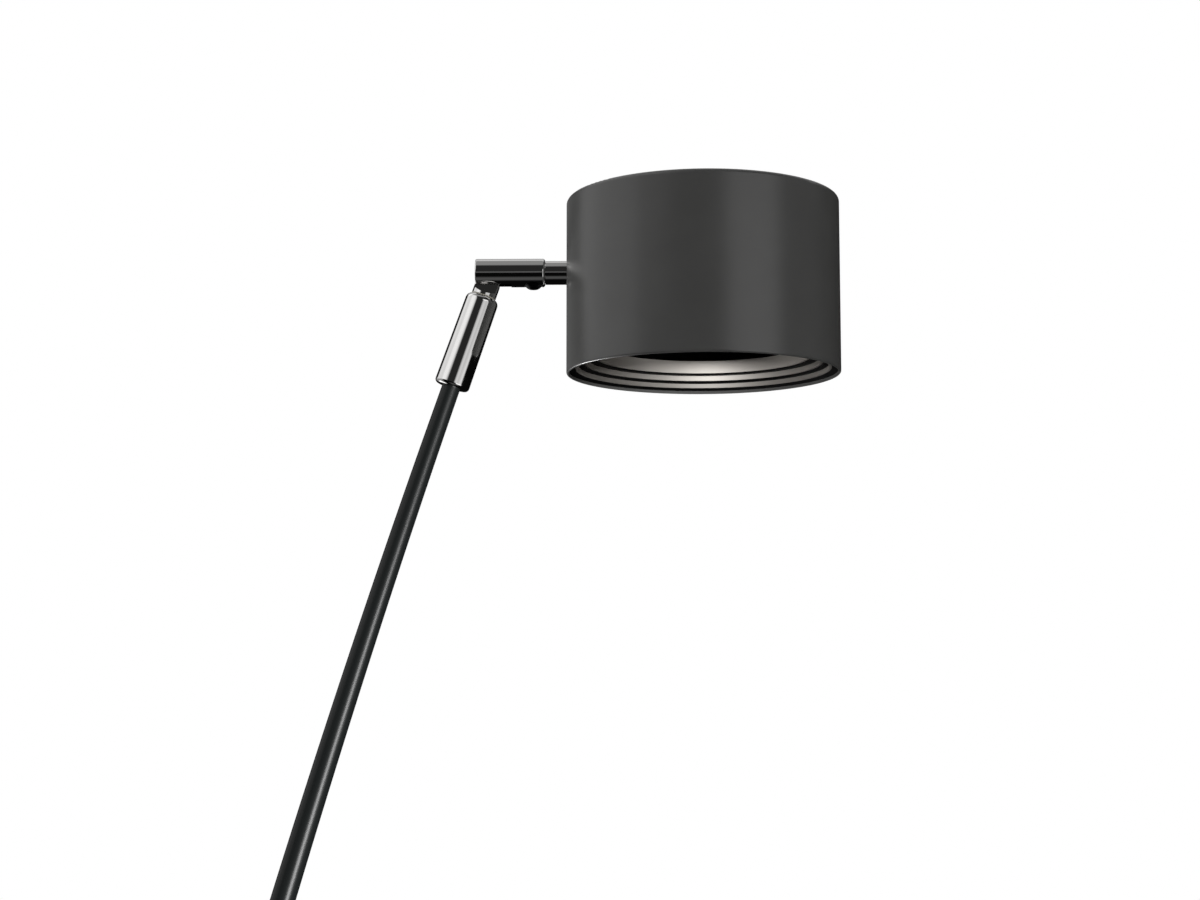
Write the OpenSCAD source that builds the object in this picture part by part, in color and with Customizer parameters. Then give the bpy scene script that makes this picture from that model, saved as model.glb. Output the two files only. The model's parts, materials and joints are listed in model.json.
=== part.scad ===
// Floor lamp: a drum head on a bowed, tapering stem over a round weighted base.
// Millimetres. +Z is up, the floor is z = 0, the stem's foot stands over the
// middle of the base and the head reaches towards +X.

/* [Base] */
// Diameter of the round base
base_d = 260; // [220:1:320]
// Height of the base cover above the floor
base_h = 22; // [21:0.5:32]
// Sheet thickness of the base cover
cover_wall = 1.5; // [1:0.1:2]
// Rounding of the cover's top edge
cover_round = 4; // [2.5:0.5:5]
// Gap between the cover's lower edge and the floor
cover_lift = 1; // [0.5:0.1:1.5]
// Thickness of the felt pad that the base stands on
pad_h = 2; // [1.6:0.1:3]
// Gap between the iron weight and the cover's skirt
weight_gap = 0.5; // [0.3:0.1:1]
// Iron left between the nut recess and the cover
weight_web = 6; // [4:0.5:8]

/* [Base swivel] */
// Diameter of the socket that stands on the base
socket_d = 46; // [40:1:60]
// Height of the socket above the base cover
socket_h = 9; // [7:0.5:14]
// Diameter of the socket's threaded tail
tail_d = 20; // [18:0.5:22]
// Across-flats width of the nut on the tail
socket_nut_af = 27; // [26:0.5:30]
// Thickness of the nut on the tail
socket_nut_h = 5; // [4:0.5:6]
// Thickness of the steel washer over the nut
socket_washer_h = 1.5; // [1:0.1:2]
// Diameter of the spigot that turns in the socket
pivot_d = 13; // [11:0.5:14]
// Running clearance of a turning fit, on the radius
run_gap = 0.04; // [0.02:0.01:0.08]
// Thickness of the nylon thrust washer
thrust_h = 0.8; // [0.6:0.1:1.5]
// Thickness of the flange under the ferrule
foot_flange_h = 4; // [3:0.5:6]
// Length of the ferrule that holds the stem's foot
ferrule_len = 46; // [36:1:60]
// Wall of the ferrule at its upper end
ferrule_wall = 2.6; // [2.2:0.1:4]

/* [Stem] */
// Length of the stem along its bow
stem_len = 1180; // [900:5:1400]
// Radius of the stem's bow
stem_bow_r = 6150; // [4500:50:12000]
// Lean of the stem's upper end from upright, in degrees
stem_top_lean = 19.1; // [13:0.1:24]
// Outside diameter of the stem at its upper end
stem_top_d = 9.2; // [8.6:0.1:10.4]
// Outside diameter of the stem at its foot
stem_foot_d = 22; // [17:0.5:25]
// Wall of the stem
stem_wall = 1.2; // [0.8:0.1:1.3]
// Gap between the stem and its sockets
stem_fit = 0.15; // [0.12:0.01:0.2]
// Diameter of the two-core lead inside the stem
lead_d = 5; // [4:0.1:5.4]

/* [Knuckle] */
// Distance from the tilt pivot to the top of the sleeve
sleeve_gap = 12.9; // [12.6:0.1:15]
// Length of the sleeve
sleeve_len = 49.8; // [46:0.2:60]
// Diameter of the sleeve at its upper end
sleeve_top_d = 17; // [16.4:0.1:19]
// Diameter of the sleeve at its lower end
sleeve_foot_d = 18.2; // [17.4:0.1:21]
// Outside diameter of the bush in the sleeve
bush_d = 12.6; // [12.3:0.1:13]
// Length of the bush in the sleeve
bush_len = 17.7; // [14:0.1:18.5]
// Diameter of the neck that carries the head
neck_d = 12.8; // [12:0.1:13.2]
// Diameter of the neck's spigot in the bush
spigot_d = 8; // [7:0.1:8.4]
// Thickness of the neck's flat tongue
tongue_t = 6; // [5:0.1:6.4]
// Radius of the tongue's round end
tongue_r = 4.6; // [4.2:0.1:4.8]
// Diameter of the cross pin that the head tilts on
pin_d = 4; // [3:0.1:4.2]
// Thickness of the friction washers beside the tongue
washer_t = 0.45; // [0.3:0.05:0.6]
// Diameter of the barrel
barrel_d = 14.6; // [14.2:0.1:16]
// Reach of the barrel behind the tilt pivot
barrel_back = 8.3; // [7.8:0.1:9]
// Reach of the barrel in front of the tilt pivot
barrel_front = 27.5; // [27:0.1:32]
// Diameter of the tension screw's button head
tension_d = 9.4; // [8:0.1:9.6]

/* [Head] */
// Diameter of the drum
drum_d = 140; // [130:1:160]
// Height of the drum
drum_h = 90; // [86:1:110]
// Sheet thickness of the drum
drum_wall = 1.2; // [1:0.1:1.6]
// Rounding of the drum's upper edge
drum_round = 2; // [1.8:0.1:4]
// Height of the barrel's axis above the drum's lower rim
drum_drop = 53; // [50:0.5:56]
// Gap between the barrel and the drum
drum_gap = 11; // [9:0.5:20]
// Diameter of the tube between barrel and drum
tube_d = 12.2; // [11.6:0.1:13]
// Diameter of the tube's threaded tail inside the drum
thread_d = 10; // [9.6:0.1:10.4]
// Diameter of the tube's spigot in the barrel
roll_d = 9; // [8:0.1:9.4]
// Length of the lampholder
holder_len = 52; // [48:0.5:56]
// Diameter of the lampholder
holder_d = 27; // [25:0.5:29]
// Diameter of the round bulb
bulb_d = 45; // [40:0.5:48]
// Diameter of the bulb's screw cap
cap_d = 14; // [13.6:0.1:14.2]
// Wall of the bulb's glass
glass_wall = 1; // [0.8:0.1:1.5]

/* [Anti-glare baffle] */
// Height of the baffle's outer edge above the drum's rim
baffle_lift = 1.6; // [1.2:0.1:2.4]
// Distance of the lower bright ring's face from the drum's inner wall
lower_ring_inset = 4.8; // [4:0.1:5.4]
// Height of the lower bright ring's foot above the rim
lower_ring_z = 2.6; // [2.5:0.1:3.2]
// Height of the lower bright ring
lower_ring_h = 2.2; // [1.6:0.1:2.2]
// Distance of the upper bright ring's face from the drum's inner wall
upper_ring_inset = 8.8; // [8:0.1:9.6]
// Height of the upper bright ring's foot above the rim
upper_ring_z = 5.9; // [5.5:0.1:6]
// Height of the upper bright ring
upper_ring_h = 2.6; // [2.4:0.1:3]
// Distance of the reflector band's foot from the drum's inner wall
band_inset = 14.3; // [13:0.1:16]
// Height of the reflector band's foot above the rim
band_z = 9.2; // [9.1:0.1:9.6]
// Height of the reflector band
band_h = 6.2; // [6:0.1:9]
// Thickness of the bright rings
ring_t = 1.2; // [0.8:0.1:1.4]

/* [Foot switch and cord inlet] */
// Distance of the foot switch from the middle of the base
switch_r = 88; // [80:1:95]
// Bearing of the foot switch round the base, in degrees from +X
switch_bearing = 225; // [200:1:240]
// Diameter of the switch body
switch_d = 26; // [24:0.5:30]
// Diameter of the push button
button_d = 16; // [12:0.5:17]
// Height of the push button above its bezel
button_rise = 5; // [4.5:0.5:7]
// Travel of the push button
button_travel = 3; // [2:0.5:3.5]
// Bore of the cord inlet
inlet_d = 7; // [6:0.1:8]
// Diameter of the cord inlet's outer flange
inlet_flange_d = 13; // [12:0.5:14]

/* [Hidden] */
$fn = 64;
// Facets of the wide cylinders that thin pieces are cut to
fine_fn = 360;

// Colours
chrome = "#c8cbcf";
graphite = "#4b4c4e";
satin_black = "#1d1e20";
satin_silver = "#b9b8b4";
brass = "#b59a54";
felt = "#2a2a2a";
iron = "#5c5d60";
nylon = "#e6e2d6";

// Overlap of cutting shapes past the faces they cut
over = 1;
// Gap between still faces that would otherwise touch on a curve
seat_gap = 0.05;

// Base, by height
base_r = base_d / 2;
weight_r = base_r - cover_wall - weight_gap;
weight_top = base_h - cover_wall;
recess_top = weight_top - weight_web;
socket_nut_top = recess_top - socket_washer_h;
tail_end = socket_nut_top - socket_nut_h - 0.5;
clip_h = 1;
clip_gap = 0.3;
pivot_end = tail_end - clip_gap - clip_h - 1;
recess_d = socket_nut_af / cos(30) + 6;
pad_edge = 3;
socket_top = base_h + socket_h;
flange_bottom = socket_top + thrust_h;
flange_top = flange_bottom + foot_flange_h;
stem_foot_z = flange_top + 2;
flange_d = socket_d - 8;

// Cord inlet and its channel in the weight
channel_w = inlet_flange_d + 4;
inlet_z = cover_lift + inlet_flange_d / 2 + 1.2;
channel_top = inlet_z + inlet_flange_d / 2 + 0.5;
inlet_body_d = inlet_d + 3.4;
inlet_flange_h = 6;
inlet_nut_h = 3;
inlet_nut_d = inlet_flange_d - 0.6;
inlet_nut_x = seat_gap - sqrt(pow(base_r - cover_wall, 2) - pow(inlet_nut_d / 2, 2));
inlet_len = inlet_flange_h + cover_wall + inlet_nut_h + 0.6;
weight_flat_x = -(base_r - cover_wall - inlet_nut_h - 1.2);
terminal_l = 30;
terminal_w = 13;
terminal_h = 8;
terminal_x = -(recess_d / 2 + terminal_l / 2 + 14);

// Foot switch
switch_x = switch_r * cos(switch_bearing);
switch_y = switch_r * sin(switch_bearing);
switch_neck_d = button_d + 4;
bezel_d = switch_d + 4;
bezel_h = 3;
button_gap = 0.3;
button_flange_d = button_d + 3;
button_flange_h = 1.5;
button_stop = weight_top - 2;
switch_floor = pad_h + 1;
switch_pocket_gap = 0.6;
wire_groove = 8;

// Stem: an arc in the XZ plane whose lean grows from foot to top
foot_lean = stem_top_lean - stem_len / stem_bow_r * 180 / PI;
stem_taper = (stem_foot_d - stem_top_d) / 2 / stem_len;
function stem_lean(s) = s < 0 ? 0 : foot_lean + s / stem_bow_r * 180 / PI;
function stem_point(s) = s < 0
    ? [0, 0, stem_foot_z + s]
    : [stem_bow_r * (cos(foot_lean) - cos(stem_lean(s))), 0,
       stem_foot_z + stem_bow_r * (sin(stem_lean(s)) - sin(foot_lean))];
function stem_radius(s) = stem_foot_d / 2 - s * stem_taper;
stem_rings = 24;
stem_sides = 32;
lead_sides = 10;
lead_rings = 30;

// Sleeve and neck, measured along the stem's upper axis from the tilt pivot
sleeve_top = -sleeve_gap;
sleeve_end = sleeve_top - sleeve_len;
bush_top = sleeve_top + 0.3;
bush_end = bush_top - bush_len;
neck_clip_top = bush_end - 0.1;
neck_clip_h = 1;
neck_spigot_end = neck_clip_top - neck_clip_h - 1;
cartridge_floor = neck_spigot_end - 0.8;
stem_seat = cartridge_floor - 3;
lead_hole_d = lead_d + 0.6;
neck_shoulder = -(sqrt(pow(barrel_back, 2) + pow(barrel_d / 2, 2)) + 0.4);
neck_lead_d = 3.4;
neck_exit_z = -(pin_d / 2 + neck_lead_d / 2 + 0.9);

// Tilt pivot in the lamp's own frame
pivot = stem_point(stem_len)
    + [-stem_seat * sin(stem_top_lean), 0, -stem_seat * cos(stem_top_lean)];

// Barrel, measured along +X from the tilt pivot
barrel_r = barrel_d / 2;
tongue_gap = 0.05;
slot_w = tongue_t + 2 * (washer_t + 2 * tongue_gap);
slot_top = tongue_r + 0.7;
tilt_down = 40;
neck_slant = tilt_down - stem_top_lean;
slot_front = neck_d / 2 / cos(neck_slant) + barrel_r * tan(neck_slant) + 0.6;
roll_end = slot_front + 2.6;
roll_bore_end = roll_end - 0.6;
roll_bore_d = roll_d + 2 * run_gap;
tension_x = 21.5;
tension_seat = -barrel_r + 0.9;
tension_dome_h = 2.1;
tension_shank_d = 5;
groove_d = roll_d - 1.6;
groove_w = 4.6;
pad_d = 4.2;
pad_top = -(groove_d / 2 + seat_gap);
pad_len = 1.3;
pin_front_wall = 1.8;

// Head, measured from the tilt pivot with the drum upright
drum_r = drum_d / 2;
drum_x = barrel_front + drum_gap + drum_r;
drum_bottom = -drum_drop;
drum_inner_r = drum_r - drum_wall;
tube_start = barrel_front + 0.3;
wall_inner_x = drum_x - drum_inner_r;
saddle_x = wall_inner_x + 2.6;
saddle_d = 20;
drum_nut_h = 4.5;
drum_nut_af = 14;
holder_x = saddle_x + drum_nut_h;
holder_rear_wall = 6;
holder_front = holder_x + holder_len;
thread_end = holder_x + holder_rear_wall;
shell_d = cap_d + 3.2;
shell_len = 26;
contact_wall_x = holder_front - shell_len - 6;
contact_d = 4;
contact_head_h = 0.8;
contact_reach = 6.6;
bulb_x = holder_front + bulb_d / 2 + 4;
bulb_neck_d = cap_d + 2.4;
tube_bore_d = 5.2;
tube_lead_d = 4.4;
carrier_top_h = 3;
lower_ring_r = drum_inner_r - lower_ring_inset;
upper_ring_r = drum_inner_r - upper_ring_inset;
band_r = drum_inner_r - band_inset;

// Point rings for a tube swept along the stem, in turning order about its axis
function sweep_ring(s, r, sides) = [
    for (k = [0:sides - 1])
        let (turn = 360 * k / sides, lean = stem_lean(s), centre = stem_point(s))
        centre + r * [cos(turn) * cos(lean), sin(turn), -cos(turn) * sin(lean)]
];
// Side faces between rings of one swept wall; flip turns them to face the axis
function wall_faces(first, rings, sides, flip) = [
    for (i = [0:rings - 2])
        for (k = [0:sides - 1])
            let (a = first + i * sides + k,
                 b = first + i * sides + (k + 1) % sides,
                 c = b + sides,
                 d = a + sides)
            each flip ? [[a, c, d], [a, b, c]] : [[a, d, c], [a, c, b]]
];
// Flat end between an outer and an inner ring; top says which end it is
function end_faces(outer, inner, sides, top) = [
    for (k = [0:sides - 1])
        let (a = outer + k,
             b = outer + (k + 1) % sides,
             c = inner + (k + 1) % sides,
             d = inner + k)
        each top ? [[a, c, b], [a, d, c]] : [[a, b, c], [a, c, d]]
];
// Flat end that closes a solid sweep
function cap_faces(first, sides, top) = [
    for (k = [1:sides - 2])
        top ? [first, first + k + 1, first + k] : [first, first + k, first + k + 1]
];

// Corner to cut from a profile so that it ends in a round of radius r
module corner_cut(r) {
    difference() {
        translate([-r, -r]) square(r + over);
        translate([-r, -r]) circle(r);
    }
}

// Plain ring about Z
module ring(outer_d, inner_d, height) {
    difference() {
        cylinder(d = outer_d, h = height);
        translate([0, 0, -over]) cylinder(d = inner_d, h = height + 2 * over);
    }
}

// Retaining clip: a ring with an open side
module open_clip(outer_d, inner_d, height, opening) {
    difference() {
        ring(outer_d, inner_d, height);
        translate([0, -opening / 2, -over]) cube([outer_d, opening, height + 2 * over]);
    }
}

// Hexagon nut about Z
module hex_nut(across, bore_d, height) {
    difference() {
        cylinder(d = across / cos(30), h = height, $fn = 6);
        translate([0, 0, -over]) cylinder(d = bore_d, h = height + 2 * over);
    }
}

// Frames that the pieces are placed in
module at_pivot() {
    translate(pivot) children();
}
module along_stem_top() {
    at_pivot() rotate([0, stem_top_lean, 0]) children();
}
module along_stem_foot() {
    translate([0, 0, stem_foot_z]) rotate([0, foot_lean, 0]) children();
}
module along_barrel(x) {
    at_pivot() translate([x, 0, 0]) rotate([0, 90, 0]) children();
}
module at_rim() {
    at_pivot() translate([drum_x, 0, drum_bottom]) children();
}
module at_switch() {
    translate([switch_x, switch_y, 0]) children();
}
module along_inlet(x) {
    translate([x, 0, inlet_z]) rotate([0, 90, 0]) children();
}

// Felt disc that the lamp stands on
module base_pad() {
    color(felt) cylinder(r = weight_r - pad_edge, h = pad_h);
}

// Iron disc with a nut recess, a cord channel, a switch pocket with a groove for its
// wires, and a flat behind the cord inlet
module base_weight() {
    edge_relief = cover_round - cover_wall + weight_gap;
    color(iron) difference() {
        rotate_extrude() difference() {
            translate([0, pad_h]) square([weight_r, weight_top - pad_h]);
            translate([weight_r, weight_top]) corner_cut(edge_relief);
        }
        translate([0, 0, -over]) cylinder(d = recess_d, h = recess_top + over);
        cylinder(d = tail_d + 0.6, h = base_h);
        translate([-base_r, -channel_w / 2, 0]) cube([base_r, channel_w, channel_top]);
        translate([weight_flat_x - base_r, -base_r, 0]) cube([base_r, base_d, base_h]);
        at_switch() cylinder(d = switch_d + 2 * switch_pocket_gap, h = base_h);
        translate([switch_x - wire_groove / 2, switch_y, 0])
            cube([wire_groove, -switch_y, pad_h + wire_groove]);
    }
}

// Spun steel cover with a skirt
module base_cover() {
    color(graphite) difference() {
        rotate_extrude() difference() {
            translate([0, cover_lift]) square([base_r, base_h - cover_lift]);
            translate([base_r, base_h]) corner_cut(cover_round);
            difference() {
                square([base_r - cover_wall, weight_top]);
                translate([base_r - cover_wall, weight_top]) corner_cut(cover_round - cover_wall);
            }
        }
        cylinder(d = tail_d + 0.6, h = base_h + over);
        at_switch() cylinder(d = switch_neck_d + 0.4, h = base_h + over);
        along_inlet(-base_r - over) cylinder(d = inlet_body_d + 0.2, h = cover_wall + 2 * over);
    }
}

// Turned socket whose tail clamps cover and weight together
module base_socket() {
    shoulder = 2.5;
    color(chrome) difference() {
        union() {
            rotate_extrude() difference() {
                translate([0, base_h]) square([socket_d / 2, socket_h]);
                translate([socket_d / 2, socket_top]) corner_cut(shoulder);
            }
            translate([0, 0, tail_end]) cylinder(d = tail_d, h = base_h - tail_end + over);
        }
        translate([0, 0, tail_end - over])
            cylinder(d = pivot_d + 2 * run_gap, h = socket_top - tail_end + 2 * over);
    }
}

module socket_washer() {
    color(chrome) translate([0, 0, socket_nut_top])
        ring(recess_d - 2, tail_d + 0.4, socket_washer_h);
}

module socket_nut() {
    color(chrome) translate([0, 0, socket_nut_top - socket_nut_h])
        hex_nut(socket_nut_af, tail_d + 2 * seat_gap, socket_nut_h);
}

// Nylon washer that the swivelling foot turns on
module thrust_washer() {
    color(nylon) translate([0, 0, socket_top])
        ring(flange_d - 4, pivot_d + 0.6, thrust_h);
}

// Bush in the cover's skirt that the mains cord enters through
module cord_inlet() {
    edge_round = 2;
    color(satin_black) difference() {
        union() {
            difference() {
                along_inlet(-base_r - inlet_flange_h) rotate_extrude() difference() {
                    square([inlet_flange_d / 2, inlet_flange_h + over]);
                    translate([inlet_flange_d / 2, 0]) mirror([0, 1]) corner_cut(edge_round);
                }
                cylinder(r = base_r + seat_gap, h = base_h);
            }
            along_inlet(-base_r - inlet_flange_h) cylinder(d = inlet_body_d, h = inlet_len);
        }
        along_inlet(-base_r - inlet_flange_h - over) cylinder(d = inlet_d, h = inlet_len + 2 * over);
    }
}

module inlet_nut() {
    color(satin_black) along_inlet(inlet_nut_x)
        ring(inlet_nut_d, inlet_body_d + 2 * seat_gap, inlet_nut_h);
}

// Two-pole terminal block, fixed up under the roof of the cord channel
module terminal_block() {
    pole_pitch = terminal_w / 2;
    color(nylon) difference() {
        translate([terminal_x - terminal_l / 2, -terminal_w / 2, channel_top - terminal_h])
            cube([terminal_l, terminal_w, terminal_h]);
        for (side = [-1, 1]) {
            translate([terminal_x - terminal_l, side * pole_pitch / 2, channel_top - terminal_h / 2])
                rotate([0, 90, 0]) cylinder(d = 3, h = 2 * terminal_l);
            for (end = [-1, 1])
                translate([terminal_x + end * terminal_l / 4, side * pole_pitch / 2, 0])
                    cylinder(d = 3.2, h = channel_top - terminal_h / 2);
        }
    }
}

module terminal_screws() {
    pole_pitch = terminal_w / 2;
    color(brass) for (side = [-1, 1], end = [-1, 1])
        translate([terminal_x + end * terminal_l / 4, side * pole_pitch / 2, channel_top - terminal_h + 0.4])
            cylinder(d = 3, h = terminal_h / 2 - 0.6);
}

// Foot switch unit hanging under the cover by its threaded neck
module switch_body() {
    cavity_floor = button_stop - button_flange_h - button_travel - 1.5;
    color(satin_black) at_switch() difference() {
        union() {
            translate([0, 0, switch_floor]) cylinder(d = switch_d, h = weight_top - switch_floor);
            translate([0, 0, weight_top - over])
                cylinder(d = switch_neck_d, h = over + cover_wall + bezel_h - 0.4);
        }
        translate([0, 0, cavity_floor])
            cylinder(d = button_flange_d + 2 * button_gap, h = button_stop - cavity_floor);
        translate([0, 0, cavity_floor])
            cylinder(d = button_d + 2 * button_gap, h = base_h);
    }
}

// Chrome ring nut that holds the switch against the cover
module switch_bezel() {
    color(chrome) at_switch() translate([0, 0, base_h]) difference() {
        rotate_extrude() difference() {
            square([bezel_d / 2, bezel_h]);
            translate([bezel_d / 2, bezel_h]) corner_cut(1.5);
        }
        translate([0, 0, -over])
            cylinder(d = switch_neck_d + 2 * seat_gap, h = bezel_h - 0.3 + over);
        cylinder(d = button_d + 2 * button_gap, h = bezel_h + over);
    }
}

module switch_button() {
    top = base_h + bezel_h + button_rise;
    bottom = button_stop - seat_gap - button_flange_h;
    crown_r = 2;
    color(satin_black) at_switch() rotate_extrude() {
        difference() {
            translate([0, bottom]) square([button_d / 2, top - bottom]);
            translate([button_d / 2, top]) corner_cut(crown_r);
        }
        translate([0, bottom]) square([button_flange_d / 2, button_flange_h]);
    }
}

// Turned foot: a spigot in the base socket, a flange and a leaning ferrule
module swivel_foot() {
    mouth_r = stem_radius(ferrule_len) + ferrule_wall;
    root_r = stem_foot_d / 2 + ferrule_wall + 0.6;
    color(chrome) difference() {
        union() {
            difference() {
                along_stem_foot() rotate_extrude() difference() {
                    polygon([[0, -ferrule_len], [root_r, -ferrule_len], [root_r, 0],
                             [mouth_r, ferrule_len], [0, ferrule_len]]);
                    translate([mouth_r, ferrule_len]) corner_cut(1.5);
                }
                translate([0, 0, flange_bottom + 1 - 4 * ferrule_len])
                    cylinder(r = 2 * ferrule_len, h = 4 * ferrule_len);
            }
            translate([0, 0, flange_bottom]) rotate_extrude() difference() {
                square([flange_d / 2, foot_flange_h]);
                translate([flange_d / 2, foot_flange_h]) corner_cut(1.5);
            }
            translate([0, 0, pivot_end]) cylinder(d = pivot_d, h = flange_top - pivot_end);
        }
        along_stem_foot() cylinder(r1 = stem_radius(0) + stem_fit,
            r2 = stem_radius(ferrule_len + over) + stem_fit, h = ferrule_len + over);
        translate([0, 0, pivot_end - over])
            cylinder(d = lead_hole_d + 0.6, h = stem_foot_z - pivot_end + 2 * over);
        translate([0, 0, tail_end - clip_gap - clip_h - 0.1])
            ring(pivot_d + 2 * over, pivot_d - 1.6, clip_h + 0.2);
        along_stem_foot() translate([0, 0, ferrule_len / 3]) rotate([0, -90, 0])
            cylinder(d = 4, h = root_r + over);
    }
}

module swivel_clip() {
    color(chrome) translate([0, 0, tail_end - clip_gap - clip_h])
        open_clip(pivot_d + 4, pivot_d - 1.6 + 2 * seat_gap, clip_h, 5);
}

module foot_grub_screw() {
    start = stem_radius(ferrule_len / 3) + stem_fit;
    color(satin_black) along_stem_foot() translate([0, 0, ferrule_len / 3]) rotate([0, -90, 0])
        translate([0, 0, start]) difference() {
            cylinder(d = 4 - 2 * seat_gap, h = ferrule_wall - 0.6);
            translate([0, 0, ferrule_wall - 1.8]) cylinder(d = 2.3, h = over + 1, $fn = 6);
        }
}

// Tapering tube bowed along an arc
module stem_tube() {
    stations = [for (i = [0:stem_rings - 1]) stem_len * i / (stem_rings - 1)];
    outer = [for (s = stations) each sweep_ring(s, stem_radius(s), stem_sides)];
    inner = [for (s = stations) each sweep_ring(s, stem_radius(s) - stem_wall, stem_sides)];
    last = (stem_rings - 1) * stem_sides;
    count = stem_rings * stem_sides;
    color(satin_black) polyhedron(
        points = concat(outer, inner),
        faces = concat(
            wall_faces(0, stem_rings, stem_sides, false),
            wall_faces(count, stem_rings, stem_sides, true),
            end_faces(0, count, stem_sides, false),
            end_faces(last, count + last, stem_sides, true)));
}

// Lead from the base up through the spigot and the stem into the sleeve
module stem_lead() {
    start = pivot_end + 0.5 - stem_foot_z;
    stations = concat([start, -1], [for (i = [0:lead_rings - 1]) 12 + (stem_len - 12) * i / (lead_rings - 1)]);
    rings = len(stations);
    points = [for (s = stations) each sweep_ring(s, lead_d / 2, lead_sides)];
    color(nylon) polyhedron(
        points = points,
        faces = concat(
            wall_faces(0, rings, lead_sides, false),
            cap_faces(0, lead_sides, false),
            cap_faces((rings - 1) * lead_sides, lead_sides, true)));
}

// Chrome sleeve on the stem's upper end, housing the neck's swivel
module upper_sleeve() {
    shoulder = 3;
    foot_round = 2.2;
    socket_len = stem_seat - sleeve_end;
    color(chrome) along_stem_top() difference() {
        rotate_extrude() difference() {
            polygon([[0, sleeve_end], [sleeve_foot_d / 2, sleeve_end],
                     [sleeve_top_d / 2, sleeve_top], [0, sleeve_top]]);
            translate([sleeve_top_d / 2, sleeve_top]) corner_cut(shoulder);
            translate([sleeve_foot_d / 2, sleeve_end]) mirror([0, 1]) corner_cut(foot_round);
        }
        translate([0, 0, cartridge_floor])
            cylinder(d = bush_d, h = sleeve_top - cartridge_floor + over);
        translate([0, 0, stem_seat - over]) cylinder(d = lead_hole_d, h = over + 5);
        translate([0, 0, sleeve_end - over])
            cylinder(r1 = stem_radius(stem_len - socket_len - over) + stem_fit,
                     r2 = stem_radius(stem_len) + stem_fit, h = socket_len + over);
    }
}

// Bush pressed into the sleeve, in which the neck's spigot turns
module neck_bush() {
    color(nylon) along_stem_top() translate([0, 0, bush_end])
        ring(bush_d - 2 * seat_gap, spigot_d + 2 * run_gap, bush_len);
}

// Neck: a spigot in the bush, a round collar hollowed to clear the barrel, and a flat
// tongue with an eye
module neck() {
    flare_z = -(tongue_r + 2);
    color(chrome) along_stem_top() difference() {
        union() {
            difference() {
                translate([0, 0, bush_top + seat_gap])
                    cylinder(d = neck_d, h = flare_z - bush_top - seat_gap);
                rotate([90, 0, 0]) cylinder(r = -neck_shoulder, h = 2 * neck_d, center = true);
            }
            translate([0, 0, neck_spigot_end])
                cylinder(d = spigot_d, h = bush_top - neck_spigot_end + over);
            intersection() {
                translate([0, 0, bush_top + over]) cylinder(d = neck_d, h = -bush_top + barrel_d);
                rotate([90, 0, 0]) linear_extrude(tongue_t, center = true) union() {
                    circle(tongue_r);
                    polygon([[-neck_d / 2, neck_shoulder - over], [neck_d / 2, neck_shoulder - over],
                             [neck_d / 2, flare_z], [tongue_r, 0], [-tongue_r, 0], [-neck_d / 2, flare_z]]);
                }
            }
        }
        rotate([90, 0, 0])
            cylinder(d = pin_d + 2 * run_gap, h = 2 * tongue_t, center = true);
        translate([0, 0, neck_spigot_end - over])
            cylinder(d = neck_lead_d, h = neck_exit_z - neck_spigot_end + over);
        translate([0, 0, neck_exit_z]) rotate([0, 90, 0]) cylinder(d = neck_lead_d, h = neck_d);
        translate([0, 0, neck_clip_top - neck_clip_h - 0.1])
            ring(spigot_d + 2 * over, spigot_d - 1.4, neck_clip_h + 0.2);
    }
}

module neck_clip() {
    color(chrome) along_stem_top() translate([0, 0, neck_clip_top - neck_clip_h])
        open_clip(bush_d - 1.2, spigot_d - 1.4 + 2 * seat_gap, neck_clip_h, 3);
}

// Polished barrel: slotted for the tongue, bored for the tube's spigot
module barrel() {
    length = barrel_back + barrel_front;
    back_round = 0.6;
    front_round = 1.2;
    color(chrome) difference() {
        along_barrel(-barrel_back) rotate_extrude() difference() {
            square([barrel_r, length]);
            translate([barrel_r, length]) corner_cut(front_round);
            translate([barrel_r, 0]) mirror([0, 1]) corner_cut(back_round);
        }
        at_pivot() translate([-barrel_back - over, -slot_w / 2, -barrel_d])
            cube([barrel_back + over + slot_front, slot_w, barrel_d + slot_top]);
        along_barrel(roll_bore_end) cylinder(d = roll_bore_d, h = length);
        along_barrel(0) cylinder(d = neck_lead_d + 0.6, h = length);
        at_pivot() translate([0, pin_front_wall - barrel_r, 0]) rotate([-90, 0, 0])
            cylinder(d = pin_d + 2 * seat_gap, h = barrel_d);
        at_pivot() translate([tension_x, 0, -barrel_d]) {
            cylinder(d = tension_shank_d, h = barrel_d);
            cylinder(d = tension_d + 0.6, h = barrel_d + tension_seat);
        }
    }
}

// Cross pin pressed into the barrel's cheeks
module pivot_pin() {
    tip_gap = 0.3;
    color(chrome) at_pivot() translate([0, pin_front_wall + tip_gap - barrel_r, 0]) rotate([-90, 0, 0])
        cylinder(d = pin_d, h = barrel_d - pin_front_wall - 3 * tip_gap);
}

module friction_washers() {
    color(satin_black) at_pivot() for (side = [-1, 1])
        translate([0, side * (slot_w / 2 - tongue_gap - washer_t / 2), 0]) rotate([90, 0, 0])
            translate([0, 0, -washer_t / 2])
            ring(2 * tongue_r, pin_d + 4 * run_gap, washer_t);
}

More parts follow.
